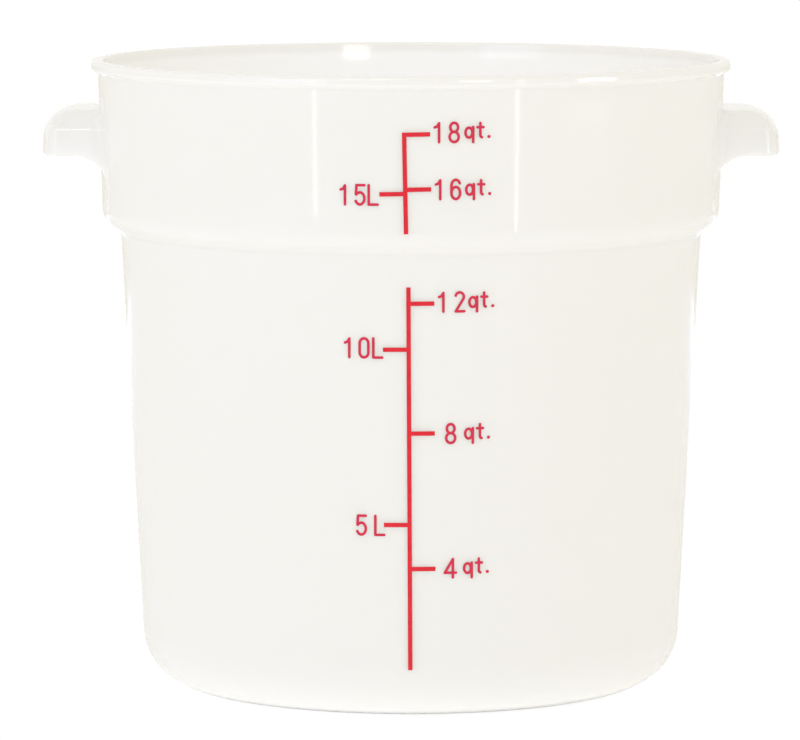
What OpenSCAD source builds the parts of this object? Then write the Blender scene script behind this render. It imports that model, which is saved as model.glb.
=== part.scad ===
// Round tub for proofing dough and storing food: one moulding of milky polypropylene with two hollow
// handles, and a red measuring scale printed on its front in two passes.
// The tub stands on z = 0 with its axis on Z. Its handles point along X and its scale faces -Y.

/* [Tub] */
// Height from the foot to the top of the rim
height = 312; // [304:1:330]
// Diameter that the lower wall would have at the foot if the base edge were sharp
base_d = 265; // [256:1:272]
// Lean of the lower wall away from upright, in degrees
wall_draft = 3; // [2.6:0.1:3.3]
// Thickness of the wall
wall_t = 2.7; // [2:0.1:3.5]
// Thickness of the floor
floor_t = 2.7; // [2:0.1:4]
// Outer radius of the edge between floor and wall
base_r = 28; // [20:1:34]
// Diameter of the shallow recess inside the foot ring
recess_d = 184; // [150:2:190]
// Depth of the recess
recess_h = 1.2; // [0.8:0.1:2]
// Width of the slope between the foot ring and the recess
recess_slope = 6; // [4:0.5:10]
// Diameter of the gate mark in the middle of the recess
gate_d = 8; // [5:0.5:12]
// Height of the gate mark
gate_h = 0.5; // [0.3:0.1:0.7]

/* [Collar] */
// Height from the corner where the collar's underside meets the lower wall up to the top of the rim
collar_h = 85.5; // [77:0.5:97]
// Distance that the collar stands out from the lower wall
step_out = 9; // [7:0.5:11]
// Height that the collar's underside climbs on its way out
step_rise = 6.5; // [5:0.5:8]
// Outer radius of the edge under the collar
step_r = 10; // [6:0.5:11]
// Radius of the hollow between the underside and the lower wall
step_hollow_r = 3; // [1:0.5:4]
// Lean of the collar away from upright, in degrees
collar_draft = 1.7; // [1:0.1:2.2]

/* [Rim] */
// Distance that the rim stands out from the collar
rim_out = 3; // [2:0.1:5]
// Height of the rim's outer face
rim_h = 4.5; // [4:0.5:7]
// Height of the slope under the rim
rim_slope = 2; // [1:0.5:3]
// Radius of the rim's outer top edge
rim_r = 2; // [1:0.25:2.5]
// Radius of the rim's inner edge and of its lower edges
lip_r = 1; // [0.5:0.25:1.25]

/* [Handles] */
// Width of a handle at its open edge
handle_w = 76; // [60:1:90]
// Distance from the top of the rim down to the top of a handle
handle_drop = 23.8; // [20:0.2:28]
// Height of a handle from its open edge to its top
handle_h = 22; // [19:0.5:26]
// Distance that a handle reaches out from the collar
handle_reach = 28; // [24:0.5:34]
// Thickness of a handle's shell
handle_t = 2.7; // [2:0.1:3.5]
// Outward lean of a handle's end, in degrees
handle_draft = 2; // [0.5:0.5:3]
// Radius of the edge between a handle's top and its end
crown_r = 15; // [8:0.5:17]
// Radius of the edges between a handle's top and its sides
shoulder_r = 7; // [5:0.5:9]
// Radius of the upright corners between a handle's end and its sides
corner_r = 5; // [4:0.5:8]
// Radius of the webs that curve from a handle's open edge down to the collar
web_r = 12.5; // [8:0.5:13]
// Height of the webs below the open edge
web_h = 23; // [18:0.5:24]
// How far a web stands out from the collar below its curve
web_out = 2.2; // [1.5:0.1:3]

/* [Scale] */
// Quarts from one mark on the right to the next. The highest mark is the tub's full measure
quart_step = 4; // [2:1:6]
// Litres from one mark on the left to the next
litre_step = 5; // [2:1:10]
// Least height left free above the highest mark
head_space = 25; // [20:1:40]
// Width of the printed lines
line_w = 2.1; // [1.2:0.1:3]
// Length of a mark from the middle of the line
mark_l = 12.3; // [8:0.1:18]
// Thickness of the ink
ink_t = 0.2; // [0.1:0.05:0.4]
// Height at which the lower line starts
line_foot = 25.5; // [24:0.5:40]
// Gap between the end of the lower line and the corner under the collar
line_gap = 15.5; // [8:0.5:20]
// Gap between that corner and the start of the upper line
line_rise = 10.7; // [9:0.1:14]
// How far the foot of the lower print sits to the right of the middle
wall_print_x = -0.5; // [-4:0.1:4]
// Lean of the lower print to the left, in degrees
wall_print_turn = 0.3; // [-1:0.1:1]
// How far the lower print sits above its true height
wall_print_z = 0.5; // [-2:0.1:2]
// How far the foot of the upper print sits to the right of the middle
collar_print_x = -2.6; // [-4:0.1:4]
// Lean of the upper print to the left, in degrees
collar_print_turn = 1.1; // [-1:0.1:2]
// How far the upper print sits above its true height
collar_print_z = -0.8; // [-2:0.1:1]

/* [Hidden] */
TUB_COLOUR = [0.95, 0.95, 0.93];
INK_COLOUR = [0.85, 0.17, 0.23];
US_QUART = 946353;
LITRE = 1000000;
// Angle that one straight piece of a rounded edge spans, on the tub and on a handle
TUB_STEP = 9;
HANDLE_STEP = 15;
// Height of one slice when the volume of the tub is added up
SLICE = 1;
// Overlap that lets a cutting shape run past what it cuts
PAST = 1;
$fa = 3;
$fs = 0.8;

function toward(a, b) = (b - a) / norm(b - a);
function flat(p) = [p.x, p.y];
function leaning(r, z, draft) = r + z * tan(draft);

// The crossing of a line through p along u with a line through q along v
function crossing(p, u, q, v) = p + u * cross(q - p, v) / cross(u, v);

// Points on a circle from angle start through turn, in straight pieces of about step degrees
function arc(centre, r, start, turn, step) =
    let (pieces = ceil(abs(turn) / step))
    [for (a = [0:pieces]) centre + r * [cos(start + turn * a / pieces), sin(start + turn * a / pieces)]];

// The points of corner i of an outline. Its corners are [x, y, radius], listed anticlockwise
function rounded(path, i, step) =
    let (
        n = len(path),
        corner = flat(path[i]),
        r = path[i][2],
        back = toward(corner, flat(path[(i + n - 1) % n])),
        ahead = toward(corner, flat(path[(i + 1) % n])),
        half = acos(back * ahead) / 2,
        centre = corner + (back + ahead) / norm(back + ahead) * r / sin(half),
        from = corner + back * r / tan(half) - centre,
        turn = (180 - 2 * half) * sign(cross(ahead, back))
    )
    r == 0 ? [corner] : arc(centre, r, atan2(from.y, from.x), turn, step);

function outline(path, step) = [for (i = [0:len(path) - 1]) each rounded(path, i, step)];

step_z = height - collar_h;

// Outer line of the lower wall and of the collar, as a radius at height z
function wall_r(z) = leaning(base_d / 2, z, wall_draft);
collar_foot = [wall_r(step_z) + step_out, step_z + step_rise];
function collar_r(z) = leaning(collar_foot.x, z - collar_foot.y, collar_draft);

// Lines of the inside, parallel to the outside at the wall's thickness
wall_up = [sin(wall_draft), cos(wall_draft)];
collar_up = [sin(collar_draft), cos(collar_draft)];
under_out = toward([wall_r(step_z), step_z], collar_foot);
wall_in = [base_d / 2 - wall_t / cos(wall_draft), 0];
collar_in = [collar_foot.x - wall_t / cos(collar_draft), collar_foot.y];
under_in = [wall_r(step_z), step_z] + wall_t * [-under_out.y, under_out.x];

// The edge under the collar can't be rounder than its two faces have room for
under_l = norm([step_out, step_rise]);
under_turn = 90 - collar_draft - atan(step_rise / step_out);
edge_r = min(step_r, (under_l - step_hollow_r) / tan(under_turn / 2));

rim_edge_r = collar_r(height) + rim_out;
rim_foot = height - rim_h;
floor_in = crossing(wall_in, wall_up, [0, floor_t], [1, 0]);
step_in = crossing(wall_in, wall_up, under_in, under_out);
collar_in_foot = crossing(collar_in, collar_up, under_in, under_out);
lip_in = crossing(collar_in, collar_up, [0, height], [1, 0]);

// Outer corners from the middle of the floor up to the rim, then the rim's top
OUTSIDE = [
    [0, recess_h, 0],
    [recess_d / 2 - recess_slope, recess_h, 0],
    [recess_d / 2, 0, 0],
    [base_d / 2, 0, base_r],
    [wall_r(step_z), step_z, step_hollow_r],
    [collar_foot.x, collar_foot.y, edge_r],
    [collar_r(rim_foot - rim_slope), rim_foot - rim_slope, lip_r],
    [rim_edge_r, rim_foot, lip_r],
    [rim_edge_r, height, rim_r],
];

// Inner corners from the middle of the floor up to the lip
INSIDE = [
    [0, recess_h + floor_t, 0],
    [recess_d / 2 - recess_slope, recess_h + floor_t, 0],
    [recess_d / 2, floor_t, 0],
    [floor_in.x, floor_in.y, base_r - wall_t],
    [step_in.x, step_in.y, step_hollow_r + wall_t],
    [collar_in_foot.x, collar_in_foot.y, edge_r - wall_t],
    [lip_in.x, lip_in.y, lip_r],
];

function reversed(list) = [for (i = [len(list) - 1:-1:0]) list[i]];
SHELL = concat(OUTSIDE, reversed(INSIDE));

// The outside from the last piece of corner i's rounding up to the next corner's
function stretch(i) =
    let (foot = rounded(SHELL, i, TUB_STEP), n = len(foot))
    [foot[n - 2], foot[n - 1], rounded(SHELL, i + 1, TUB_STEP)[0]];
BASE_CORNER = 3;
COLLAR_CORNER = 5;
WALL_LINE = stretch(BASE_CORNER);
COLLAR_LINE = stretch(COLLAR_CORNER);

// Radius and area of the cavity at height z, read from the inner outline above the floor
CAVITY = [for (p = outline(INSIDE, TUB_STEP)) if (p.x > recess_d / 2 - recess_slope) [p.y, p.x]];
function cavity_area(z) = PI * lookup(z, CAVITY) ^ 2;

// Pairs of the volume held and the height it fills the tub to, less the raised middle of the floor
floor_rise = PI * (recess_d / 2) ^ 2 * recess_h;
function slice(z) = cavity_area(z + SLICE / 2) * SLICE;
FILL = [for (z = floor_t, v = -floor_rise; z < height; v = v + slice(z), z = z + SLICE) [v, z]];
function level(volume) = lookup(volume, FILL);
function held(z) = lookup(z, [for (pair = FILL) [pair.y, pair.x]]);

// Full measures of one unit that the tub holds below the head space
function measures(unit) = floor(held(height - head_space) / unit);
full_quarts = measures(US_QUART);
quarts = [for (n = [quart_step:quart_step:full_quarts - 1]) n, full_quarts];
litres = [for (n = [litre_step:litre_step:measures(LITRE)]) n];

// Heights of the marks that one print has room for between low and high. It may sit a little off true
function marks(volumes, unit, off, low, high) = [
    for (v = volumes)
        let (z = level(v * unit) + off)
        if (z - line_w / 2 >= low && z + line_w / 2 <= high) z
];

// A handle's outlines are moved in by inset, which is 0 outside and the shell's thickness for the hollow
handle_z = height - handle_drop;
handle_edge_z = handle_z - handle_h;
handle_r = collar_r(handle_z) + handle_reach;
web_foot_z = handle_edge_z - web_h;

// A handle is rooted at the middle of the collar's wall
function root_r(z) = collar_r(z) - wall_t / 2;
function end_r(z, inset) = leaning(handle_r - inset / cos(handle_draft), handle_edge_z - z, handle_draft);
function handle_top(inset) = [
    [end_r(handle_z - inset, inset), handle_z - inset, crown_r - inset],
    [root_r(handle_z) - inset, handle_z - inset, 0],
];

// The outside of a handle as radius and height, with the web that runs down into the collar's wall
HANDLE_SECTION = concat(
    [
        [root_r(web_foot_z), web_foot_z, 0],
        [collar_r(handle_edge_z) + web_out, handle_edge_z, web_r],
        [end_r(handle_edge_z, 0), handle_edge_z, 0],
    ],
    handle_top(0)
);

// The hollow of a handle, open below
HOLLOW_SECTION = let (low = web_foot_z - PAST) concat(
    [[root_r(low) - handle_t, low, 0], [end_r(low, handle_t), low, 0]],
    handle_top(handle_t)
);

// The handle seen from its end, as distance from its middle and height
function handle_across(inset) =
    let (
        side = handle_w / 2 - inset,
        low = web_foot_z - 2 * PAST,
        top = handle_z - inset,
        r = shoulder_r - inset
    )
    [[-side, low, 0], [side, low, 0], [side, top, r], [-side, top, r]];

// The handle seen from above. Its corners end on the tangents of the curved end, which meet at the tip
function handle_plan(inset) =
    let (
        side = handle_w / 2 - inset,
        out = handle_r - inset,
        around = asin(side / out),
        corner = out * cos(around),
        tip = out / cos(around),
        r = corner_r - inset
    )
    [[0, -side, 0], [corner, -side, r], [tip, 0, 0], [corner, side, r], [0, side, 0]];

module handle_form(section, inset) {
    intersection() {
        rotate_extrude() polygon(outline(section, HANDLE_STEP));
        rotate([90, 0, 90])
            linear_extrude(handle_r + PAST)
                polygon(outline(handle_across(inset), HANDLE_STEP));
        linear_extrude(height) polygon(outline(handle_plan(inset), HANDLE_STEP));
    }
}

// A hollow shell, open below, whose sides run down into the collar as webs
module handle() {
    difference() {
        handle_form(HANDLE_SECTION, 0);
        handle_form(HOLLOW_SECTION, handle_t);
    }
}

module tub() {
    color(TUB_COLOUR) {
        rotate_extrude() polygon(outline(SHELL, TUB_STEP));
        for (turn = [0, 180]) rotate(turn) handle();
        translate([0, 0, recess_h - gate_h]) cylinder(d = gate_d, h = gate_h + floor_t / 2);
    }
}

// A skin of ink all round one stretch of the outside
module ink_skin(line) {
    rotate_extrude() polygon(concat(line, [for (p = reversed(line)) p + [ink_t, 0]]));
}

// A graduated line seen from the front, from height low to height high, with marks to its right and left.
// It leans about its foot
module graduated(low, high, right, left, lean) {
    translate([0, low]) rotate(lean) translate([0, -low]) {
        translate([-line_w / 2, low]) square([line_w, high - low]);
        for (z = right) translate([0, z - line_w / 2]) square([mark_l, line_w]);
        for (z = left) translate([-mark_l, z - line_w / 2]) square([mark_l, line_w]);
    }
}

// The part of the skin on line that the drawing covers, as seen from the front
module print_on(line, x) {
    color(INK_COLOUR)
        intersection() {
            ink_skin(line);
            rotate([90, 0, 0]) linear_extrude(rim_edge_r) translate([x, 0]) children();
        }
}

// The lower line ends below the collar, or at a higher mark
module wall_scale() {
    top = WALL_LINE[2].y;
    right = marks(quarts, US_QUART, wall_print_z, line_foot, top);
    left = marks(litres, LITRE, wall_print_z, line_foot, top);
    high = max(concat(right, left, [step_z - line_gap - line_w / 2])) + line_w / 2;
    print_on(WALL_LINE, wall_print_x) graduated(line_foot, high, right, left, wall_print_turn);
}

// The upper line starts on the collar, or at a lower mark, and ends at the highest mark
module collar_scale() {
    foot = COLLAR_LINE[0].y;
    right = marks(quarts, US_QUART, collar_print_z, foot, height);
    left = marks(litres, LITRE, collar_print_z, foot, height);
    both = concat(right, left);
    low = min(concat(both, [step_z + line_rise + line_w / 2])) - line_w / 2;
    print_on(COLLAR_LINE, collar_print_x) graduated(low, max(both) + line_w / 2, right, left, collar_print_turn);
}

tub();
wall_scale();
collar_scale();
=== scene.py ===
"""Round tub for proofing dough, dressed around its construction model.

The construction model's tub is replaced by a finer moulding of the same form, and its printed lines get
their ink. Numbers are added beside the marks. Sizes are in metres, apart from those whose name ends in MM.
"""

import math
from types import SimpleNamespace

import bpy
import numpy as np
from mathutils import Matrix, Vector


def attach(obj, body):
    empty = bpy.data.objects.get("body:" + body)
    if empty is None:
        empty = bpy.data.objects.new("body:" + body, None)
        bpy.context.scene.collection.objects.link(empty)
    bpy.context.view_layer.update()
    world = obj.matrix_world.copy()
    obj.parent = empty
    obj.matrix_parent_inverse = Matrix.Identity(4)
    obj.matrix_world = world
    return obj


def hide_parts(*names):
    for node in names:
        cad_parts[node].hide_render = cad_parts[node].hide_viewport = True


bl_info = {
    "name": "Dough tub",
    "version": (1, 1, 0),
    "blender": (4, 5, 0),
    "location": "3D Viewport > Sidebar > Dough tub",
    "description": "Builds a milky food tub with its handles, printed scale and photo stage",
    "category": "Add Mesh",
}

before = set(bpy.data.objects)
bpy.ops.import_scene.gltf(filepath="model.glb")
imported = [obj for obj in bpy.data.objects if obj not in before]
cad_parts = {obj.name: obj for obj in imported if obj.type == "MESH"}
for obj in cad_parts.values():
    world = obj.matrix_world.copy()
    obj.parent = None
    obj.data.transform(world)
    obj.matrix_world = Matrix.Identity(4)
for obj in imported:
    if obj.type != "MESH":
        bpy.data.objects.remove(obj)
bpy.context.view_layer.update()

MM = 0.001
BODY = "root"


def rad(degrees):
    return math.radians(degrees)


def length(name, description, millimetres):
    return bpy.props.FloatProperty(
        name=name, description=description, default=millimetres * MM, unit="LENGTH", precision=5
    )


def angle(name, description, degrees):
    return bpy.props.FloatProperty(name=name, description=description, default=rad(degrees), subtype="ANGLE")


def share(name, description, value):
    return bpy.props.FloatProperty(name=name, description=description, default=value, min=0)


def tint(name, description, red, green, blue):
    return bpy.props.FloatVectorProperty(
        name=name, description=description, subtype="COLOR", size=3, default=(red, green, blue)
    )


class TubSizes(bpy.types.PropertyGroup):
    """Sizes of the tub's shell"""

    height: length("Height", "Foot to rim", 312)
    base_d: length("Base diameter", "Of the lower wall, carried down to the foot", 265)
    wall_draft: angle("Wall draft", "Lean of the lower wall", 3)
    wall_t: length("Wall", "Thickness of wall and floor", 2.7)
    base_r: length("Base edge", "Radius between floor and wall", 28)
    recess_d: length("Recess", "Diameter inside the foot ring", 184)
    recess_h: length("Recess depth", "Depth inside the foot ring", 1.2)
    recess_slope: length("Recess slope", "Width of the slope inside the foot ring", 6)
    gate_d: length("Gate mark", "Diameter of the mark in the middle of the underside", 8)
    gate_h: length("Gate height", "Height of that mark", 0.5)
    collar_h: length("Collar height", "Corner under the collar up to the rim", 85.5)
    step_out: length("Step width", "How far the collar stands out", 9)
    step_rise: length("Step rise", "Climb of the collar's underside", 6.5)
    step_r: length("Step edge", "Radius of the edge under the collar", 10)
    hollow_r: length("Step hollow", "Radius between the underside and the lower wall", 3)
    collar_draft: angle("Collar draft", "Lean of the collar", 1.7)
    rim_out: length("Rim width", "How far the rim stands out", 3)
    rim_h: length("Rim height", "Height of the rim's outer face", 4.5)
    rim_slope: length("Rim slope", "Height of the slope under the rim", 2)
    rim_r: length("Rim edge", "Radius of the rim's outer top edge", 2)
    lip_r: length("Lip", "Radius of the rim's other edges", 1)


class HandleSizes(bpy.types.PropertyGroup):
    """Sizes of a handle"""

    width: length("Width", "Across the open edge", 76)
    drop: length("Drop", "Rim down to the handle", 23.8)
    height: length("Height", "Open edge to top", 22)
    reach: length("Reach", "Out from the collar", 28)
    draft: angle("Draft", "Lean of the end", 2)
    crown_r: length("Crown", "Radius between top and end", 15)
    top_bevel: length("Top bevel", "Width of the bevels between the top and the sides", 9)
    end_bevel: length("End bevel", "Width of the bevels between the end and the sides", 3.5)
    bevel_r: length("Bevel edge", "Radius between the bevels and the top and end", 9)
    side_r: length("Side edge", "Radius between the bevels and the sides", 1.5)
    web_r: length("Web curve", "Radius under the sides", 12.5)
    web_h: length("Web height", "Below the open edge", 23)
    web_out: length("Web width", "Out from the collar", 2.2)
    edge_r: length("Open edge", "Radius of the open edge", 0.6)
    root_r: length("Root", "Hollow radius where the handle meets the collar", 2)
    cell: length("Cell", "Size of the mesh's faces", 0.8)


class PrintSizes(bpy.types.PropertyGroup):
    """Sizes of the printed numbers"""

    digit_h: length("Digit height", "Of a digit", 10.2)
    stroke: length("Stroke", "Width of a stroke", 1.3)
    film: length("Film", "Thickness of the ink", 0.12)
    cell: length("Cell", "Size of the mesh's faces", 0.16)


class Finishes(bpy.types.PropertyGroup):
    """Colours of the tub and its print"""

    milk: tint("Milky plastic", "Colour of the tub", 0.985, 0.983, 0.976)
    milk_haze: tint("Haze", "Colour of the plastic's cloudier spots", 0.98, 0.978, 0.971)
    # Painted shade: the rim and handles get a darker base colour, so that they look less bright than the walls
    milk_thick: tint("Painted rim and handle shade", "Colour of the rim and handles", 0.84, 0.84, 0.84)
    ink: tint("Line ink", "Colour of the lines", 0.70, 0.018, 0.035)
    ink_label: tint("Label ink", "Colour of the numbers", 0.62, 0.025, 0.07)
    seep: length("Seep", "How far light seeps through the plastic", 12)


class StudioSettings(bpy.types.PropertyGroup):
    """Light of the studio"""

    room: tint("Room", "Light of the warm room", 0.895, 0.868, 0.785)
    lamps: tint("Lamps", "Colour of the cooler lamps", 0.55, 0.62, 1.0)
    shadow: share("Shadow", "Share of the tub's shadow that the floor keeps", 0.15)
    left_box: share("Left softbox", "Power of the softbox on the left", 4.8)
    right_box: share("Right softbox", "Power of the softbox on the right", 0.4)
    back_box: share("Back softbox", "Power of the softbox behind the tub", 6.2)
    table_glow: share("Table glow", "Power of the light that the table sends up", 1.85)
    left_strip: share("Left strip", "Power of the strip on the left", 0.09)
    right_strip: share("Right strip", "Power of the strip on the right", 0.12)
    left_gleam: share("Left gleam", "Power of the gleam on the left handle's upper edge", 5)
    right_gleam: share("Right gleam", "Power of the gleam on the right handle's upright edge", 2.4)
    inner_gleam: share("Inner gleam", "Power of the gleam on the far wall, seen above the near rim", 2.0)


GROUPS = {
    "tub_sizes": TubSizes,
    "handle_sizes": HandleSizes,
    "print_sizes": PrintSizes,
    "tub_finishes": Finishes,
    "tub_studio": StudioSettings,
}


def sizes(group):
    """The values that the user set in one of the property groups."""
    return getattr(bpy.context.scene, group)


class Socket:
    """A socket of a node tree, so that arithmetic on it adds nodes."""

    def __init__(self, tree, link):
        self.tree = tree
        self.link = link

    def __add__(self, other):
        return self.tree.math("ADD", self, other)

    def __sub__(self, other):
        return self.tree.math("SUBTRACT", self, other)

    def __rsub__(self, other):
        return self.tree.math("SUBTRACT", other, self)

    def __mul__(self, other):
        return self.tree.math("MULTIPLY", self, other)

    def __truediv__(self, other):
        return self.tree.math("DIVIDE", self, other)

    def __rtruediv__(self, other):
        return self.tree.math("DIVIDE", other, self)

    def __neg__(self):
        return self * -1

    __radd__ = __add__
    __rmul__ = __mul__


class Tree:
    """A node tree that is written as expressions."""

    def __init__(self, tree):
        self.tree = tree

    def node(self, kind, settings, values, output=0):
        made = self.tree.nodes.new(kind)
        for key, value in settings.items():
            if key == "stops":
                set_ramp(made.color_ramp, value)
            elif key == "choices":
                set_choices(made.index_switch_items, value)
            else:
                setattr(made, key, value)
        for key, value in values.items():
            if isinstance(value, (Socket, list)):
                for source in value if isinstance(value, list) else [value]:
                    self.tree.links.new(source.link, made.inputs[key])
            else:
                made.inputs[key].default_value = value
        return Socket(self, made.outputs[output])

    def math(self, operation, *values):
        return self.node("ShaderNodeMath", {"operation": operation}, dict(enumerate(values)))

    def point(self, x, y, z):
        return self.node("ShaderNodeCombineXYZ", {}, {0: x, 1: y, 2: z})

    def end(self, kind, result):
        self.tree.links.new(result.link, self.tree.nodes.new(kind).inputs[0])


def set_ramp(ramp, stops):
    while len(ramp.elements) < len(stops):
        ramp.elements.new(1)
    for element, (place, level) in zip(ramp.elements, stops):
        element.position = place
        element.color = (level, level, level, 1)


def set_choices(items, count):
    while len(items) < count:
        items.new()


def tangent(slope):
    return slope.tree.math("TANGENT", slope) if isinstance(slope, Socket) else math.tan(slope)


def cosine(slope):
    return slope.tree.math("COSINE", slope) if isinstance(slope, Socket) else math.cos(slope)


def root(number):
    return number.tree.math("SQRT", number) if isinstance(number, Socket) else math.sqrt(number)


class Shader(Tree):
    """The nodes of a material or of the world."""

    def __init__(self, owner):
        owner.use_nodes = True
        super().__init__(owner.node_tree)
        self.tree.nodes.clear()

    def noise(self, scale, detail=2, stretch=(1, 1, 1)):
        here = self.node("ShaderNodeTexCoord", {}, {}, "Object")
        placed = self.node("ShaderNodeMapping", {}, {"Vector": here, "Scale": stretch})
        return self.node("ShaderNodeTexNoise", {}, {"Vector": placed, "Scale": scale, "Detail": detail})

    def ramp(self, value, *stops):
        return self.node("ShaderNodeValToRGB", {"stops": stops}, {"Fac": value})

    def mix(self, factor, a, b):
        return self.node("ShaderNodeMix", {"data_type": "RGBA"}, {"Factor": factor, 6: a, 7: b}, 2)

    def bump(self, height, distance):
        return self.node("ShaderNodeBump", {}, {"Height": height, "Distance": distance})


def rgba(colour, gain=1.0):
    return tuple(channel * gain for channel in colour) + (1.0,)


def painted_shade_share(shader):
    """Mask of the painted shade: 1 in the rim and the handles, where the plastic is thicker, and 0 in the walls."""
    tub = sizes("tub_sizes")
    here = shader.node("ShaderNodeTexCoord", {}, {}, "Object")
    x, y, z = (shader.node("ShaderNodeSeparateXYZ", {}, {0: here}, axis) for axis in range(3))
    past_wall = root(x * x + y * y) - collar_radius(tub, z) - 0.002
    in_rim = z - (tub.height - tub.rim_h - tub.rim_slope)
    return shader.ramp(shader.math("MAXIMUM", past_wall, in_rim) / 0.003, (0, 0), (1, 1))


def milky_plastic():
    """Satin polypropylene that light seeps through."""
    finish = sizes("tub_finishes")
    material = bpy.data.materials.new("milky_plastic")
    shader = Shader(material)
    haze = shader.ramp(shader.noise(9, 3), (0.35, 0), (0.65, 1))
    wall = shader.mix(haze, rgba(finish.milk), rgba(finish.milk_haze))
    orange_peel = shader.noise(220, 2)
    flow = shader.noise(30, 2, (1, 1, 0.25))
    values = {
        # The rim and handles take the darker colour of the painted shade
        "Base Color": shader.mix(painted_shade_share(shader), wall, rgba(finish.milk_thick)),
        "Roughness": shader.ramp(shader.noise(45, 4), (0.3, 0.06), (0.7, 0.10)),
        "Normal": shader.bump(orange_peel * 0.35 + flow, 0.00004),
        "IOR": 1.49,
        "Subsurface Weight": 1.0,
        "Subsurface Radius": (1.0, 0.97, 0.9),
        "Subsurface Scale": finish.seep,
    }
    shader.end("ShaderNodeOutputMaterial", shader.node("ShaderNodeBsdfPrincipled", {}, values))
    return material


def red_ink(name, ink):
    """Screen-printed ink, thin in places."""
    material = bpy.data.materials.new(name)
    shader = Shader(material)
    mottle = shader.noise(260, 3)
    values = {
        "Base Color": shader.mix(shader.ramp(mottle, (0.35, 0), (0.75, 1)), rgba(ink), rgba(ink, 1.18)),
        "Roughness": shader.ramp(mottle, (0.3, 0.34), (0.7, 0.46)),
        "Normal": shader.bump(shader.noise(900, 2), 0.00003),
        "Specular IOR Level": 0.25,
    }
    shader.end("ShaderNodeOutputMaterial", shader.node("ShaderNodeBsdfPrincipled", {}, values))
    return material


def new_object(name, vertices, faces, material):
    mesh = bpy.data.meshes.new(name)
    mesh.from_pydata([tuple(v) for v in vertices], [], [tuple(f) for f in faces])
    mesh.polygons.foreach_set("use_smooth", [True] * len(mesh.polygons))
    mesh.materials.append(material)
    piece = bpy.data.objects.new(name, mesh)
    bpy.context.scene.collection.objects.link(piece)
    return piece


class Shape(Tree):
    """A Geometry Nodes tree with named inputs for its sizes."""

    def __init__(self, name):
        super().__init__(bpy.data.node_groups.new(name, "GeometryNodeTree"))
        self.tree.interface.new_socket("Geometry", in_out="OUTPUT", socket_type="NodeSocketGeometry")
        self.tree.interface.new_socket("Geometry", in_out="INPUT", socket_type="NodeSocketGeometry")
        self.inputs = self.tree.nodes.new("NodeGroupInput")
        self.identifiers = {}

    def choice(self, values, kind):
        """The one of the values that the point's own index picks."""
        index = self.node("GeometryNodeInputIndex", {}, {})
        picks = {number + 1: value for number, value in enumerate(values)}
        return self.node("GeometryNodeIndexSwitch", {"data_type": kind, "choices": len(values)}, {0: index, **picks})

    def given(self):
        """The piece's own mesh."""
        return Socket(self, self.inputs.outputs["Geometry"])

    def size(self, name, kind="NodeSocketFloat"):
        made = self.tree.interface.new_socket(name, in_out="INPUT", socket_type=kind)
        self.identifiers[name] = made.identifier
        return Socket(self, self.inputs.outputs[name])

    def sizes(self, group):
        """A named input for each size of a property group, under the group's own keys."""
        properties = group.bl_rna.properties
        return SimpleNamespace(**{key: self.size(properties[key].name) for key in group.__annotations__})

    def finish(self, geometry, material):
        solid = self.node("GeometryNodeRealizeInstances", {}, {"Geometry": geometry})
        self.end("NodeGroupOutput", self.node("GeometryNodeSetMaterial", {}, {"Geometry": solid, "Material": material}))

    def apply(self, piece, values):
        """Gives the piece the tree's result as a plain mesh."""
        modifier = piece.modifiers.new(self.tree.name, "NODES")
        modifier.node_group = self.tree
        for name, value in values.items():
            modifier[self.identifiers[name]] = value
        evaluated = piece.evaluated_get(bpy.context.evaluated_depsgraph_get())
        mesh = bpy.data.meshes.new_from_object(evaluated)
        piece.modifiers.clear()
        piece.data = mesh
        mesh.name = piece.name
        mesh.polygons.foreach_set("use_smooth", [True] * len(mesh.polygons))


def labelled(group):
    """A group's values under the names that its tree's inputs have."""
    return {group.bl_rna.properties[key].name: getattr(group, key) for key in group.__annotations__}


def wall_radius(tub, z):
    """Outer radius of the lower wall at height z."""
    return tub.base_d / 2 + z * tangent(tub.wall_draft)


def collar_foot(tub):
    """Radius and height of the corner that the edge under the collar rounds off."""
    step_z = tub.height - tub.collar_h
    return wall_radius(tub, step_z) + tub.step_out, step_z + tub.step_rise


def collar_radius(tub, z):
    """Outer radius of the collar at height z."""
    foot_r, foot_z = collar_foot(tub)
    return foot_r + (z - foot_z) * tangent(tub.collar_draft)


# Straight pieces in a corner of the shell: a sharp one, a small rounding and a large one
SHARP, SMALL, LARGE = 0, 6, 12


def outside_corners(tub):
    """Corners of the shell's outside as radius, height, rounding and pieces, from the floor's middle up."""
    step_z = tub.height - tub.collar_h
    rim_foot = tub.height - tub.rim_h
    slope_foot = rim_foot - tub.rim_slope
    rim_edge = collar_radius(tub, tub.height) + tub.rim_out
    gate_z = tub.recess_h - tub.gate_h
    return [
        (0, gate_z, 0, SHARP),
        (tub.gate_d / 2, gate_z, tub.gate_h / 3, SMALL),
        (tub.gate_d / 2 + tub.gate_h / 5, tub.recess_h, tub.gate_h / 3, SMALL),
        (tub.recess_d / 2 - tub.recess_slope, tub.recess_h, 0.002, SMALL),
        (tub.recess_d / 2, 0, 0.002, SMALL),
        (tub.base_d / 2, 0, tub.base_r, LARGE * 2),
        (wall_radius(tub, step_z), step_z, tub.hollow_r, SMALL),
        (*collar_foot(tub), tub.step_r, LARGE),
        (collar_radius(tub, slope_foot), slope_foot, tub.lip_r, SMALL),
        (rim_edge, rim_foot, tub.lip_r, SMALL),
        (rim_edge, tub.height, tub.rim_r, LARGE),
    ]


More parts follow.
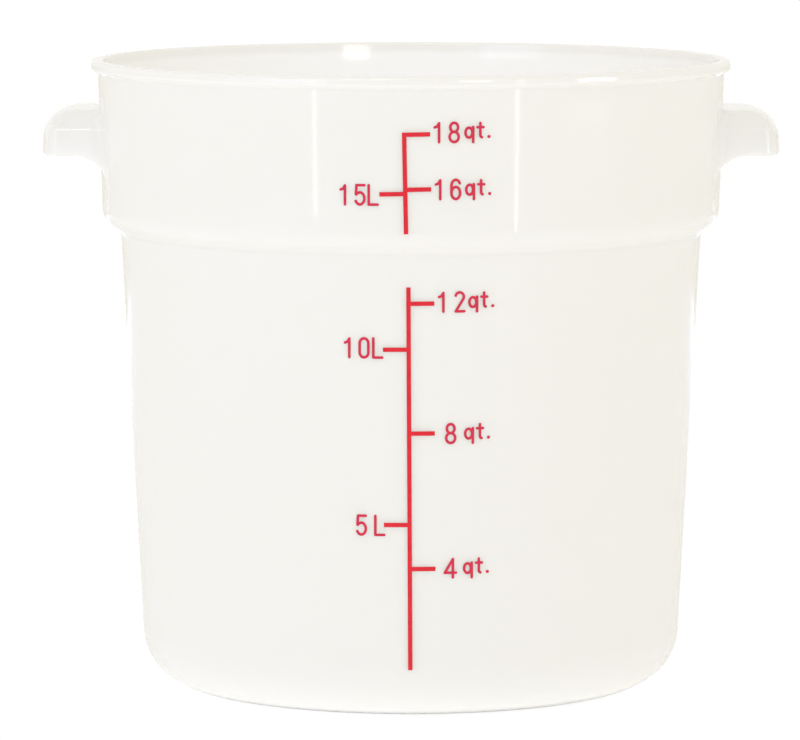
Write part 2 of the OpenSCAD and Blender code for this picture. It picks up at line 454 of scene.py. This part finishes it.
def inside_corners(tub):
    """Corners of the shell's inside in the same form, from the rim down to the floor's middle."""
    step_z = tub.height - tub.collar_h
    foot_r, foot_z = collar_foot(tub)
    slope = tub.step_rise / tub.step_out
    wall_lean, collar_lean = tangent(tub.wall_draft), tangent(tub.collar_draft)
    wall_in = tub.base_d / 2 - tub.wall_t / cosine(tub.wall_draft)
    collar_in = foot_r - foot_z * collar_lean - tub.wall_t / cosine(tub.collar_draft)
    under_in = step_z + tub.wall_t * root(1 + slope * slope) - wall_radius(tub, step_z) * slope
    step_in = (under_in + wall_in * slope) / (1 - wall_lean * slope)
    collar_in_foot = (under_in + collar_in * slope) / (1 - collar_lean * slope)
    floor_z = tub.recess_h + tub.wall_t
    return [
        (collar_in + tub.height * collar_lean, tub.height, tub.lip_r, SMALL),
        (collar_in + collar_in_foot * collar_lean, collar_in_foot, tub.step_r - tub.wall_t, LARGE),
        (wall_in + step_in * wall_lean, step_in, tub.hollow_r + tub.wall_t, SMALL),
        (wall_in + tub.wall_t * wall_lean, tub.wall_t, tub.base_r - tub.wall_t, LARGE * 2),
        (tub.recess_d / 2, tub.wall_t, 0.002, SMALL),
        (tub.recess_d / 2 - tub.recess_slope, floor_z, 0.002, SMALL),
        (0, floor_z, 0, SHARP),
    ]


def outline_path(shape, corners, ring):
    """A curve through the corners, rounded there, with points no further apart than ring on its straights."""
    index = shape.node("GeometryNodeInputIndex", {}, {})
    here = shape.node("GeometryNodeInputPosition", {}, {})
    line = shape.node("GeometryNodeMeshLine", {}, {"Count": len(corners)})
    path = shape.node("GeometryNodeMeshToCurve", {}, {"Mesh": line})
    places = [shape.point(r, 0, z) for r, z, rounding, pieces in corners]
    path = shape.node("GeometryNodeSetPosition", {}, {"Geometry": path, "Position": shape.choice(places, "VECTOR")})
    values = {
        "Curve": path,
        "Radius": shape.choice([rounding for r, z, rounding, pieces in corners], "FLOAT"),
        "Count": shape.choice([pieces for r, z, rounding, pieces in corners], "INT"),
    }
    path = shape.node("GeometryNodeFilletCurve", {"mode": "POLY"}, values)
    ahead = shape.node("GeometryNodeFieldAtIndex", {"data_type": "FLOAT_VECTOR"}, {"Value": here, "Index": index + 1})
    gap = shape.node("ShaderNodeVectorMath", {"operation": "DISTANCE"}, {0: here, 1: ahead}, "Value")
    return shape.node("GeometryNodeSubdivideCurve", {}, {"Curve": path, "Cuts": gap / ring})


def lathed(shape, path, turns):
    """The solid that a path round its section makes when it turns about the axis."""
    index = shape.node("GeometryNodeInputIndex", {}, {})
    here = shape.node("GeometryNodeInputPosition", {}, {})
    rows = shape.node("GeometryNodeAttributeDomainSize", {"component": "CURVE"}, {"Geometry": path}, "Point Count")
    grid = shape.node("GeometryNodeMeshGrid", {}, {"Vertices X": turns + 1, "Vertices Y": rows})
    values = {"Geometry": path, "Value": here, "Index": shape.math("MODULO", index, rows)}
    spot = shape.node("GeometryNodeSampleIndex", {"data_type": "FLOAT_VECTOR"}, values)
    turn = shape.math("FLOOR", index / rows) * (2 * math.pi / turns)
    placed = shape.node("ShaderNodeVectorRotate", {"rotation_type": "Z_AXIS"}, {"Vector": spot, "Angle": turn})
    solid = shape.node("GeometryNodeSetPosition", {}, {"Geometry": grid, "Position": placed})
    return shape.node("GeometryNodeMergeByDistance", {}, {"Geometry": solid, "Distance": 0.000001})


def round_the_axis(shape, copy, count):
    """Copies that stand at equal turns about the axis."""
    index = shape.node("GeometryNodeInputIndex", {}, {})
    spots = shape.node("GeometryNodePoints", {}, {"Count": count})
    turn = shape.node("FunctionNodeAxisAngleToRotation", {}, {"Axis": (0, 0, 1), "Angle": index * (2 * math.pi / count)})
    copies = shape.node("GeometryNodeInstanceOnPoints", {}, {"Points": spots, "Instance": copy, "Rotation": turn})
    return shape.node("GeometryNodeRealizeInstances", {}, {"Geometry": copies})


def moulding_shape(material):
    """The tree that lathes the shell and joins copies of the piece's own mesh, a handle, to it."""
    shape = Shape("tub_moulding")
    tub = shape.sizes(TubSizes)
    turns, handles = shape.size("Turns", "NodeSocketInt"), shape.size("Handles", "NodeSocketInt")
    corners = outside_corners(tub) + inside_corners(tub)
    shell = lathed(shape, outline_path(shape, corners, shape.size("Ring")), turns)
    around = round_the_axis(shape, shape.given(), handles)
    joined = {"operation": "UNION", "solver": "MANIFOLD"}
    shape.finish(shape.node("GeometryNodeMeshBoolean", joined, {"Mesh 2": [shell, around]}), material)
    return shape


def rounded_max(a, b, radius):
    """The meeting of two sides of a solid, rounded off. Inside is negative."""
    return np.minimum(np.maximum(a, b), -radius) + np.hypot(np.maximum(a + radius, 0), np.maximum(b + radius, 0))


def rounded_min(a, b, radius):
    """The joining of two solids, with a hollow rounding."""
    return -rounded_max(-a, -b, radius)


# What a radius comes to in rounded_max where the two sides meet at 45 degrees
BLUNT = math.tan(math.pi / 8) * math.sin(math.pi / 4)
# How far below the collar's face a handle's root is blended, so that the two cross cleanly
ROOT_SINK = 0.00001


def handle_field(x, y, z):
    """How far a point lies outside the right handle, whose root is sunk in the collar's wall."""
    size, tub = sizes("handle_sizes"), sizes("tub_sizes")
    r = np.hypot(x, y)
    top_z = tub.height - size.drop
    edge_z = top_z - size.height
    foot_z = edge_z - size.web_h
    collar = (r - collar_radius(tub, z)) * math.cos(tub.collar_draft)
    end_r = collar_radius(tub, top_z) + size.reach + (edge_z - z) * math.tan(size.draft)
    end = (r - end_r) * math.cos(size.draft)
    top, side = z - top_z, np.abs(y) - size.width / 2
    bevel = (np.maximum(top + size.top_bevel, end + size.end_bevel) + side) / math.sqrt(2)
    hood = rounded_max(rounded_max(top, end, size.crown_r), bevel, size.bevel_r * BLUNT)
    outer = rounded_max(hood, side, size.side_r * BLUNT)
    shell = np.maximum(outer, -(outer + tub.wall_t))
    foot_r = collar_radius(tub, foot_z) - tub.wall_t / 2
    web_r = collar_radius(tub, edge_z) + size.web_out
    web_lean = (web_r - foot_r) / (edge_z - foot_z)
    web = (r - web_r - (z - edge_z) * web_lean) / math.hypot(1, web_lean)
    handle = rounded_max(shell, rounded_min(edge_z - z, web, size.web_r), size.edge_r)
    rooted = rounded_min(handle, collar + ROOT_SINK, size.root_r)
    cuts = np.maximum(-(collar + tub.wall_t / 2), foot_z - z)
    return np.maximum(np.maximum(rooted, cuts), handle - size.root_r * 1.1)


def cell_points(values, counts):
    """Where the surface passes through each cell, as a share of the cell, and which cells it passes through."""
    nx, ny, nz = (n - 1 for n in counts)
    total, crossings = np.zeros((nx, ny, nz, 3)), np.zeros((nx, ny, nz))
    for a in np.ndindex(2, 2, 2):
        for axis in range(3):
            if a[axis] == 1:
                continue
            b = [1 if n == axis else c for n, c in enumerate(a)]
            va = values[a[0]:a[0] + nx, a[1]:a[1] + ny, a[2]:a[2] + nz]
            vb = values[b[0]:b[0] + nx, b[1]:b[1] + ny, b[2]:b[2] + nz]
            cut = (va < 0) != (vb < 0)
            place = np.zeros((nx, ny, nz, 3)) + a
            place[..., axis] = va / np.where(cut, va - vb, 1)
            total += cut[..., None] * place
            crossings += cut
    used = crossings > 0
    return total[used] / crossings[used][:, None], used


def crossing_faces(inside, index, axis):
    """The four-sided faces across the grid's edges along one axis, facing outwards."""
    u, v = (axis + 1) % 3, (axis + 2) % 3
    ahead = np.roll(inside, -1, axis)
    faces = []
    for leaving in (True, False):
        change = (inside & ~ahead) if leaving else (~inside & ahead)
        cells = np.argwhere(change)
        ring = []
        for du, dv in ((-1, -1), (0, -1), (0, 0), (-1, 0)):
            near = cells.copy()
            near[:, u] += du
            near[:, v] += dv
            ring.append(index[tuple(near.T)])
        quads = np.stack(ring, 1)
        faces.append(quads if leaving else quads[:, ::-1])
    return np.concatenate(faces)


def settled(field, points, cell):
    """Points moved one step towards the surface, by no more than a share of a cell."""
    x, y, z = points.T
    d = cell * 0.02
    slope = np.stack([
        field(x + d, y, z) - field(x - d, y, z),
        field(x, y + d, z) - field(x, y - d, z),
        field(x, y, z + d) - field(x, y, z - d),
    ], 1) / (2 * d)
    steep = np.maximum((slope ** 2).sum(1), 0.25)
    move = -(field(x, y, z) / steep)[:, None] * slope
    far = np.linalg.norm(move, axis=1, keepdims=True)
    return points + move * np.minimum(1, 0.25 * cell / np.maximum(far, 1e-12))


def surface_mesh(field, low, high, cell, rounds=6):
    """A closed mesh of quads where the field is zero. The space from low to high clears it on all sides."""
    cell = np.broadcast_to(cell, 3)
    counts = [math.ceil((b - a) / c) + 1 for a, b, c in zip(low, high, cell)]
    axes = [a + c * np.arange(n) for a, n, c in zip(low, counts, cell)]
    values = np.broadcast_to(field(*np.meshgrid(*axes, indexing="ij", sparse=True)), counts)
    shares, used = cell_points(values, counts)
    points = np.array(low) + cell * (np.argwhere(used) + shares)
    index = np.full(used.shape, -1)
    index[used] = np.arange(len(points))
    faces = np.concatenate([crossing_faces(values < 0, index, axis) for axis in range(3)])
    for _ in range(rounds):
        points = settled(field, points, cell.min())
    return points, faces


class TUB_OT_moulding(bpy.types.Operator):
    """Moulds the tub: its shell with the two handles"""

    bl_idname = "tub.moulding"
    bl_label = "Tub"

    turns: bpy.props.IntProperty(name="Turns", description="Faces round the tub", default=256, min=24)
    handles: bpy.props.IntProperty(name="Handles", description="Handles round the tub", default=2, min=1)
    ring: length("Ring", "Longest face up the wall", 10)

    def execute(self, context):
        size, tub = sizes("handle_sizes"), sizes("tub_sizes")
        top_z = tub.height - size.drop
        foot_z = top_z - size.height - size.web_h
        half = size.width / 2
        margin = 4 * size.cell
        reach = collar_radius(tub, top_z) + size.reach
        inner = math.sqrt(collar_radius(tub, foot_z) ** 2 - half ** 2) - 3 * tub.wall_t
        low = (inner, -half - size.root_r - margin, foot_z - margin)
        high = (reach + 2 * margin, half + size.root_r + margin, top_z + size.root_r + margin)
        points, faces = surface_mesh(handle_field, low, high, size.cell)
        plastic = milky_plastic()
        moulding = new_object("tub_moulding", points, faces, plastic)
        values = {"Turns": self.turns, "Handles": self.handles, "Ring": self.ring}
        moulding_shape(plastic).apply(moulding, {**labelled(tub), **values})
        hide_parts("tub")
        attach(moulding, BODY)
        return {"FINISHED"}


def bow(cx, cy, rx, ry, start, turn, pieces=16):
    """Points along part of an ellipse."""
    angles = [rad(start + turn * i / pieces) for i in range(pieces + 1)]
    return [(cx + rx * math.cos(a), cy + ry * math.sin(a)) for a in angles]


# Each character's width with its gap, and its strokes, on a grid that gives a digit 9.9 units of height
GLYPHS = {
    "0": (6.3, [bow(2.5, 7.15, 2.0, 2.25, 0, 180) + bow(2.5, 2.75, 2.0, 2.25, 180, 180) + [(4.5, 7.15)]]),
    "1": (6.8, [[(0.5, 7.3), (1.6, 7.7), (2.5, 9.2), (2.5, 0.5)]]),
    "2": (7.0, [bow(3.25, 7.35, 1.9, 2.05, 165, -205) + [(1.45, 0.55), (5.35, 0.55)]]),
    "4": (7.0, [[(4.35, 0.5), (4.35, 9.2), (0.6, 2.75), (5.8, 2.75)]]),
    "5": (6.6, [[(4.6, 9.4), (1.0, 9.4), (0.75, 5.2)] + bow(2.55, 3.3, 2.1, 2.8, 140, -295)]),
    "6": (6.7, [bow(2.85, 6.6, 2.0, 2.8, 25, 155) + bow(2.85, 3.3, 2.0, 2.8, 180, 360)]),
    "8": (7.0, [bow(2.65, 2.85, 2.1, 2.35, 0, 360), bow(2.65, 7.25, 1.8, 2.15, 0, 360)]),
    "q": (5.7, [bow(2.15, 4.75, 1.6, 2.3, 0, 360), [(4.1, 7.3), (4.1, 0.4)]]),
    "t": (4.75, [[(1.7, 9.1), (1.7, 3.5)] + bow(2.6, 3.5, 0.9, 0.95, 180, 80), [(0.4, 7.2), (3.1, 7.2)]]),
    ".": (2.0, [[(0.8, 2.75), (0.8, 2.95)], [(1.05, 2.75), (1.05, 2.95)]]),
    "L": (6.0, [[(0.8, 9.4), (0.8, 0.5), (4.9, 0.5)]]),
}
DIGIT_UNITS = 9.9

# Each label's words with their left ends, the foot of its digits in MM, and whether it is on the collar
LABELS = {
    "label_18_quarts": ([("18", 10.4), ("qt.", 24.9)], 280.4, True),
    "label_16_quarts": ([("16", 11.0), ("qt.", 25.3)], 253.3, True),
    "label_12_quarts": ([("12", 12.6), ("qt.", 27.0)], 198.8, False),
    "label_8_quarts": ([("8", 16.0), ("qt.", 25.1)], 135.4, False),
    "label_4_quarts": ([("4", 15.4), ("qt.", 24.7)], 70.1, False),
    "label_15_litres": ([("15", -34.1), ("L", -21.1)], 250.7, True),
    "label_10_litres": ([("10", -32.2), ("L", -19.0)], 176.7, False),
    "label_5_litres": ([("5", -26.6), ("L", -18.1)], 90.9, False),
}


def label_strokes(words, foot):
    """The strokes of a label as points across and up the wall."""
    unit = sizes("print_sizes").digit_h / DIGIT_UNITS
    strokes = []
    for text, left_mm in words:
        pen = left_mm * MM
        for letter in text:
            advance, drawn = GLYPHS[letter]
            strokes += [[(pen + x * unit, foot + z * unit) for x, z in stroke] for stroke in drawn]
            pen += advance * unit
    return strokes


def stroke_distance(x, z, strokes):
    """How far x, z lies from the nearest stroke's middle line."""
    nearest = np.inf
    for stroke in strokes:
        for (ax, az), (bx, bz) in zip(stroke, stroke[1:]):
            dx, dz = bx - ax, bz - az
            along = np.clip(((x - ax) * dx + (z - az) * dz) / max(dx * dx + dz * dz, 1e-18), 0, 1)
            nearest = np.minimum(nearest, np.hypot(x - ax - along * dx, z - az - along * dz))
    return nearest


def ink_field(strokes):
    """The field of flat ink along the strokes, with rounded edges. Its y is how deep it goes."""
    size = sizes("print_sizes")

    def field(x, y, z):
        flat = stroke_distance(x, z, strokes) - size.stroke / 2
        return rounded_max(flat, np.abs(y) - size.film, size.film * 0.6)

    return field


def on_wall_shape(material):
    """The tree that lays flat ink on a leaning round wall, as seen from the front."""
    shape = Shape("ink_on_the_wall")
    foot, lean = shape.size("Foot radius"), shape.size("Lean")
    here = shape.node("GeometryNodeInputPosition", {}, {})
    x, y, z = (shape.node("ShaderNodeSeparateXYZ", {}, {"Vector": here}, output) for output in "XYZ")
    r = foot + z * lean - y
    laid = shape.point(x, -shape.math("SQRT", r * r - x * x), z)
    shape.finish(shape.node("GeometryNodeSetPosition", {}, {"Geometry": shape.given(), "Position": laid}), material)
    return shape


class TUB_OT_labels(bpy.types.Operator):
    """Prints the numbers beside the marks"""

    bl_idname = "tub.labels"
    bl_label = "Numbers"

    def execute(self, context):
        size, tub = sizes("print_sizes"), sizes("tub_sizes")
        ink = red_ink("label_ink", sizes("tub_finishes").ink_label)
        wrap = on_wall_shape(ink)
        cell = np.array([size.cell, size.film / 3, size.cell])
        for name, (words, foot_mm, on_collar) in LABELS.items():
            strokes = label_strokes(words, foot_mm * MM)
            ends = np.array([point for stroke in strokes for point in stroke])
            low = (ends[:, 0].min() - size.stroke, -size.film * 1.7, ends[:, 1].min() - size.stroke)
            high = (ends[:, 0].max() + size.stroke, size.film * 1.7, ends[:, 1].max() + size.stroke)
            label = new_object(name, *surface_mesh(ink_field(strokes), low, high, cell), ink)
            radius = collar_radius if on_collar else wall_radius
            lean = tangent(tub.collar_draft if on_collar else tub.wall_draft)
            wrap.apply(label, {"Foot radius": radius(tub, 0), "Lean": lean})
            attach(label, BODY)
        return {"FINISHED"}


class TUB_OT_lines(bpy.types.Operator):
    """Gives the printed lines their ink"""

    bl_idname = "tub.lines"
    bl_label = "Lines"

    def execute(self, context):
        ink = red_ink("line_ink", sizes("tub_finishes").ink)
        for name in ("wall_scale", "collar_scale"):
            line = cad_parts[name]
            line.data.materials.clear()
            line.data.materials.append(ink)
        return {"FINISHED"}


def area_light(name, place, target, wide, high, power, colour=(1, 1, 1), lights=True, mirrored=True):
    """A lamp that the camera never sees. It lights the tub, is mirrored in its gloss, or both."""
    data = bpy.data.lights.new(name, "AREA")
    data.shape = "RECTANGLE"
    data.size, data.size_y, data.energy, data.color = wide, high, power, colour
    lamp = bpy.data.objects.new(name, data)
    lamp.location = place
    lamp.rotation_euler = (Vector(target) - Vector(place)).to_track_quat("-Z", "Y").to_euler()
    lamp.visible_camera, lamp.visible_diffuse, lamp.visible_glossy = False, lights, mirrored
    bpy.context.scene.collection.objects.link(lamp)


def floor_white(kept):
    """White to the camera, with a share kept of the real shading for the shadow."""
    material = bpy.data.materials.new("floor_white")
    shader = Shader(material)
    path = shader.node("ShaderNodeLightPath", {}, {}, "Is Camera Ray")
    diffuse = shader.node("ShaderNodeBsdfDiffuse", {}, {"Color": (0.93, 0.93, 0.93, 1)})
    glow = shader.node("ShaderNodeEmission", {}, {"Color": (1, 1, 1, 1), "Strength": 1.05})
    mixed = shader.node("ShaderNodeMixShader", {}, {0: path * (1 - kept), 1: diffuse, 2: glow})
    shader.end("ShaderNodeOutputMaterial", mixed)
    return material


def white_room(studio):
    """An even warm room, which the camera sees as white and the plastic's gloss as paler."""
    world = bpy.data.worlds.new("studio")
    shader = Shader(world)
    seen, mirrored = (shader.node("ShaderNodeLightPath", {}, {}, ray) for ray in ("Is Camera Ray", "Is Glossy Ray"))
    room = shader.node("ShaderNodeBackground", {}, {"Color": rgba(studio.room), "Strength": 1.0})
    white = shader.node("ShaderNodeBackground", {}, {"Color": (1, 1, 1, 1), "Strength": 1.0})
    shader.end("ShaderNodeOutputWorld", shader.node("ShaderNodeMixShader", {}, {0: seen + mirrored * 0.5, 1: room, 2: white}))
    return world


# The photograph's camera: side step, distance in front of the tub's axis, height, pitch and lens in MM
CAMERA_X, CAMERA_Y, CAMERA_Z, CAMERA_PITCH, LENS_MM = -0.00546, -2.9873, 0.47545, 6.10, 270.36
FLOOR_HALF = 12
# Light passes the milky walls many times before it leaves the tub
WALL_BOUNCES = 32


class TUB_OT_stage(bpy.types.Operator):
    """Sets the floor, lights and camera"""

    bl_idname = "tub.stage"
    bl_label = "Stage"

    def execute(self, context):
        scene, studio = context.scene, sizes("tub_studio")
        scene.view_settings.view_transform = "Standard"
        scene.cycles.diffuse_bounces, scene.cycles.max_bounces = WALL_BOUNCES, WALL_BOUNCES + 8
        corners = [(x * FLOOR_HALF, y * FLOOR_HALF, 0) for x, y in ((-1, -1), (1, -1), (1, 1), (-1, 1))]
        new_object("floor", corners, [(0, 1, 2, 3)], floor_white(studio.shadow))
        scene.world = white_room(studio)
        self.add_lamps(studio)
        camera = bpy.data.objects.new("camera", bpy.data.cameras.new("camera"))
        camera.data.lens = LENS_MM
        camera.data.sensor_width = 36
        camera.data.clip_end = 50
        camera.location = (CAMERA_X, CAMERA_Y, CAMERA_Z)
        camera.rotation_euler = (rad(90 - CAMERA_PITCH), 0, 0)
        scene.collection.objects.link(camera)
        scene.camera = camera
        return {"FINISHED"}

    def add_lamps(self, studio):
        middle = (0, 0, 0.25)
        area_light("left_box", (-1.3, -1.5, 0.64), middle, 0.9, 1.0, studio.left_box, studio.lamps)
        area_light("right_box", (1.3, -1.5, 0.64), middle, 0.9, 1.0, studio.right_box, studio.lamps)
        behind, low = (0, 1.6, 0.17), (0, 0, 0.17)
        area_light("back_box", behind, low, 1.6, 0.34, studio.back_box, studio.lamps, mirrored=False)
        area_light("table_glow", (0, 0, 0.0005), (0, 0, 1), 1.6, 1.6, studio.table_glow, mirrored=False)
        area_light("left_strip", (-0.63, -0.97, 0.26), (0, 0, 0.26), 0.018, 0.33, studio.left_strip)
        area_light("right_strip", (0.70, -0.95, 0.20), (0, 0, 0.20), 0.018, 0.36, studio.right_strip)
        area_light("left_gleam", (-0.45, -1.5, 1.4), middle, 0.7, 0.5, studio.left_gleam, lights=False)
        area_light("right_gleam", (1.75, -0.75, 0.22), middle, 0.5, 0.2, studio.right_gleam, lights=False)
        area_light("inner_gleam", (0.74, -1.86, 0.42), middle, 0.37, 0.4, studio.inner_gleam, lights=False)


OPERATORS = (TUB_OT_moulding, TUB_OT_lines, TUB_OT_labels, TUB_OT_stage)


class TUB_PT_panel(bpy.types.Panel):
    """Lists the tub's sizes and steps"""

    bl_label = "Dough tub"
    bl_idname = "TUB_PT_panel"
    bl_space_type = "VIEW_3D"
    bl_region_type = "UI"
    bl_category = "Dough tub"

    def draw(self, context):
        for name, group in GROUPS.items():
            box = self.layout.box()
            for key in group.__annotations__:
                box.prop(getattr(context.scene, name), key)
        for operator in OPERATORS:
            self.layout.operator(operator.bl_idname)


CLASSES = (*GROUPS.values(), *OPERATORS, TUB_PT_panel)


def register():
    for made in CLASSES:
        bpy.utils.register_class(made)
    for name, group in GROUPS.items():
        setattr(bpy.types.Scene, name, bpy.props.PointerProperty(type=group))


def unregister():
    for name in GROUPS:
        delattr(bpy.types.Scene, name)
    for made in reversed(CLASSES):
        bpy.utils.unregister_class(made)


def main():
    register()
    bpy.ops.tub.moulding()
    bpy.ops.tub.lines()
    bpy.ops.tub.labels()
    bpy.ops.tub.stage()


if __name__ == "__main__":
    main()
